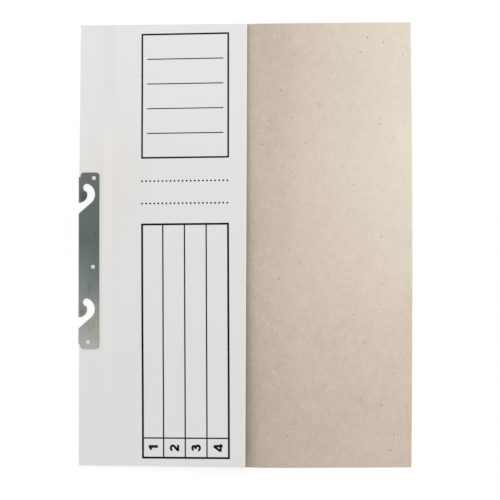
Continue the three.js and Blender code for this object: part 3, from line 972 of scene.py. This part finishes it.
def digit_strokes(form, digit):
    """One digit of bold strokes, its middle at the origin."""
    widened, bars, bows = DIGITS[digit]
    height, weight, thickness = form.digit_height, form.digit_weight, 2 * form.ink_height
    bm = bmesh.new()
    for ends in bars:
        start, end = (Vector(point) * height for point in ends)
        along = end - start
        made = add_block(bm, (along.length, weight, thickness))
        middle = ((start + end) / 2).to_3d()
        turn = Matrix.Rotation(math.atan2(along.y, along.x), 4, "Z")
        bmesh.ops.transform(bm, verts=made, matrix=Matrix.Translation(middle) @ turn)
    for middle, radius, start, sweep in bows:
        bow = bmesh.new()
        bmesh.ops.create_grid(bow, x_segments=1, y_segments=1, size=0.5)
        bmesh.ops.scale(bow, verts=bow.verts[:], vec=(weight, thickness, 1))
        bmesh.ops.rotate(bow, verts=bow.verts[:], matrix=Matrix.Rotation(math.radians(90), 3, "X"))
        bmesh.ops.translate(bow, verts=bow.verts[:], vec=(radius * height, 0, 0))
        bmesh.ops.rotate(bow, verts=bow.verts[:], matrix=Matrix.Rotation(math.radians(start), 3, "Z"))
        bmesh.ops.spin(
            bow, geom=bow.verts[:] + bow.edges[:] + bow.faces[:], cent=(0, 0, 0), axis=(0, 0, 1),
            dvec=(0, 0, 0), angle=math.radians(sweep), steps=20,
        )
        bmesh.ops.recalc_face_normals(bow, faces=bow.faces[:])
        bmesh.ops.translate(bow, verts=bow.verts[:], vec=Vector(middle).to_3d() * height)
        pour(bow, bm)
    bmesh.ops.scale(bm, verts=bm.verts[:], vec=(widened, 1, 1))
    low = Vector([min(vert.co[axis] for vert in bm.verts) for axis in range(3)])
    high = Vector([max(vert.co[axis] for vert in bm.verts) for axis in range(3)])
    bmesh.ops.translate(bm, verts=bm.verts[:], vec=-(low + high) / 2)
    return bm


def column_places(form):
    """Middles of the lines on both sides of the table and between its columns."""
    half = form.table_line / 2
    between = [form.left + form.column_pitch * index for index in (1, 2, 3)]
    return [form.left + half, *between, form.right - half]


class FOLDER_OT_digits(bpy.types.Operator):
    """Prints the digits in the numbered cells, turned to be read from the side"""

    bl_idname = "folder.digits"
    bl_label = "Digits"

    def execute(self, context):
        form = context.scene.folder_form
        together = bmesh.new()
        row = (form.heading_place + form.table_end - form.table_line / 2) / 2
        sides = column_places(form)
        for digit, left, right in zip(DIGITS, sides, sides[1:]):
            place = Vector((CAD_LOW.x + (left + right) / 2, CAD_HIGH.y - row, 0))
            turn = Matrix.Rotation(math.radians(90), 4, "Z")
            bm = digit_strokes(form, digit)
            bmesh.ops.transform(bm, verts=bm.verts[:], matrix=Matrix.Translation(place) @ turn)
            pour(bm, together)
        print_on_cover(together, context, "printed_digits")
        return {"FINISHED"}


class FOLDER_OT_hook_strip(bpy.types.Operator):
    """Makes the folded steel strip with its two hook slots"""

    bl_idname = "folder.hook_strip"
    bl_label = "Hook strip"

    def execute(self, context):
        bm = copy_of("hook_strip")
        finish = finish_for(zinc_strip)
        piece = piece_from(bm, "steel_strip", [finish], "spine")
        round_edges(piece, context.scene.folder_metal.strip_edge)
        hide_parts("hook_strip")
        return {"FINISHED"}


class FOLDER_OT_rivets(bpy.types.Operator):
    """Turns the three hollow rivets with rolled heads"""

    bl_idname = "folder.rivets"
    bl_label = "Rivets"

    def execute(self, context):
        for place in ("upper", "middle", "lower"):
            self.turn_rivet(context, f"rivet_{place}", f"hollow_rivet_{place}")
        return {"FINISHED"}

    def turn_rivet(self, context, node, name):
        low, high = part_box(node)
        middle = (low + high) / 2
        head = (high.x - low.x) / 2
        half = (high.z - low.z) / 2
        # Profile of the upper half, as shares of the head's radius and heights over the rivet's middle
        upper = [
            (0.36, 0.0), (0.36, half - 0.32 * MM), (0.42, half - 0.16 * MM), (0.52, half - 0.04 * MM),
            (0.66, half), (0.84, half - 0.04 * MM), (0.96, half - 0.13 * MM), (1.0, half - 0.29 * MM),
            (0.72, half - 0.29 * MM),
        ]
        lower = [(radius, -height) for radius, height in reversed(upper) if height > 0]
        bm = bmesh.new()
        ring = [bm.verts.new((radius * head, 0, height)) for radius, height in upper + lower]
        edges = [bm.edges.new(pair) for pair in zip(ring, ring[1:] + ring[:1])]
        bmesh.ops.spin(
            bm, geom=ring + edges, cent=(0, 0, 0), axis=(0, 0, 1), dvec=(0, 0, 0),
            angle=2 * math.pi, steps=context.scene.folder_metal.rivet_steps, use_merge=True,
        )
        bmesh.ops.recalc_face_normals(bm, faces=bm.faces[:])
        bmesh.ops.translate(bm, verts=bm.verts[:], vec=middle)
        finish = finish_for(bright_rivet, context.scene.folder_colours)
        piece = piece_from(bm, name, [finish], "spine")
        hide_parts(node)


class FOLDER_OT_fastener(bpy.types.Operator):
    """Makes the paper fastener: base, glued strip, pressing bar, prongs and sliders"""

    bl_idname = "folder.fastener"
    bl_label = "Paper fastener"

    def execute(self, context):
        colours = context.scene.folder_colours
        edge = context.scene.folder_metal.tin_edge
        tin = finish_for(rolled_tin, colours)
        paper = finish_for(glued_paper, colours)
        for node, name, body in (
            ("fastener_base", "tin_base", "back"),
            ("compressor_bar", "tin_bar", "back"),
            ("upper_prong", "tin_prong_upper", "prong_up"),
            ("lower_prong", "tin_prong_lower", "prong_down"),
            ("upper_slider", "tin_slider_upper", "slider_up"),
            ("lower_slider", "tin_slider_lower", "slider_down"),
        ):
            piece = piece_from(copy_of(node), name, [tin], body)
            round_edges(piece, edge)
            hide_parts(node)
        strip = piece_from(copy_of("paper_strip"), "glued_strip", [paper], "back")
        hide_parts("paper_strip")
        return {"FINISHED"}


class FOLDER_OT_stage(bpy.types.Operator):
    """Sets the table, the lights and the camera"""

    bl_idname = "folder.stage"
    bl_label = "Table, light and camera"

    def execute(self, context):
        stage = context.scene.folder_stage
        self.lay_table()
        self.light_room(context, stage)
        self.place_camera(context, stage)
        context.scene.view_settings.view_transform = "Standard"
        return {"FINISHED"}

    def lay_table(self):
        bm = bmesh.new()
        gap = 0.05 * MM
        bmesh.ops.create_grid(bm, x_segments=1, y_segments=1, size=3)
        bmesh.ops.translate(bm, verts=bm.verts[:], vec=(0, 0, -gap))
        piece_from(bm, "table", [white_table()], smooth=False)

    def light_room(self, context, stage):
        room = Paint("room", world=True)
        seen = room.seen_by("Is Camera Ray", "Is Glossy Ray")
        strength = room.node("ShaderNodeMapRange", None, {"Value": seen, "To Min": stage.fill, "To Max": 1})
        background = {"Color": (1, 1, 1), "Strength": strength}
        context.scene.world = room.close("ShaderNodeBackground", background)
        sun = bpy.data.lights.new("key", "SUN")
        sun.energy = stage.key
        sun.angle = stage.key_softness
        lamp = placed("key", sun)
        level = Vector((math.cos(stage.key_turn), -math.sin(stage.key_turn), 0))
        towards = level * math.cos(stage.key_height) - Vector((0, 0, math.sin(stage.key_height)))
        lamp.rotation_euler = towards.to_track_quat("-Z", "Y").to_euler()
        panel = bpy.data.lights.new("head_lamp", "AREA")
        panel.shape = "DISK"
        panel.size = stage.head_lamp_size
        panel.energy = stage.head_lamp_power
        head_lamp = placed("head_lamp", panel)
        head_lamp.location = stage.head_lamp_place
        head_lamp.rotation_euler = (-head_lamp.location).to_track_quat("-Z", "Y").to_euler()

    def place_camera(self, context, stage):
        lens = bpy.data.cameras.new("camera")
        lens.sensor_width = 36
        lens.lens = stage.camera_lens
        lens.clip_start = 0.01
        camera = placed("camera", lens)
        camera.location = stage.camera_place
        camera.rotation_euler = stage.camera_turn
        context.scene.camera = camera


class FOLDER_PT_pieces(bpy.types.Panel):
    """Lists the folder's pieces"""

    bl_idname = "FOLDER_PT_pieces"
    bl_label = "Fastener folder"
    bl_space_type = "VIEW_3D"
    bl_region_type = "UI"
    bl_category = "Folder"

    def draw(self, context):
        for operator in OPERATORS:
            self.layout.operator(operator.bl_idname)


SETTINGS = {
    "folder_board": FolderBoard,
    "folder_form": FolderForm,
    "folder_metal": FolderMetal,
    "folder_colours": FolderColours,
    "folder_stage": FolderStage,
}

OPERATORS = (
    FOLDER_OT_stage,
    FOLDER_OT_spine_margin,
    FOLDER_OT_half_cover,
    FOLDER_OT_back_board,
    FOLDER_OT_top_box,
    FOLDER_OT_dotted_rows,
    FOLDER_OT_table,
    FOLDER_OT_digits,
    FOLDER_OT_hook_strip,
    FOLDER_OT_rivets,
    FOLDER_OT_fastener,
)


def register():
    for group in SETTINGS.values():
        bpy.utils.register_class(group)
    for name, group in SETTINGS.items():
        setattr(bpy.types.Scene, name, PointerProperty(type=group))
    for operator in OPERATORS:
        bpy.utils.register_class(operator)
    bpy.utils.register_class(FOLDER_PT_pieces)


def unregister():
    bpy.utils.unregister_class(FOLDER_PT_pieces)
    for operator in reversed(OPERATORS):
        bpy.utils.unregister_class(operator)
    for name in SETTINGS:
        delattr(bpy.types.Scene, name)
    for group in reversed(SETTINGS.values()):
        bpy.utils.unregister_class(group)


def main():
    register()
    bpy.ops.folder.stage()
    bpy.ops.folder.spine_margin()
    bpy.ops.folder.half_cover()
    bpy.ops.folder.back_board()
    bpy.ops.folder.top_box()
    bpy.ops.folder.dotted_rows()
    bpy.ops.folder.table()
    bpy.ops.folder.digits()
    bpy.ops.folder.hook_strip()
    bpy.ops.folder.rivets()
    bpy.ops.folder.fastener()


if __name__ == "__main__":
    main()
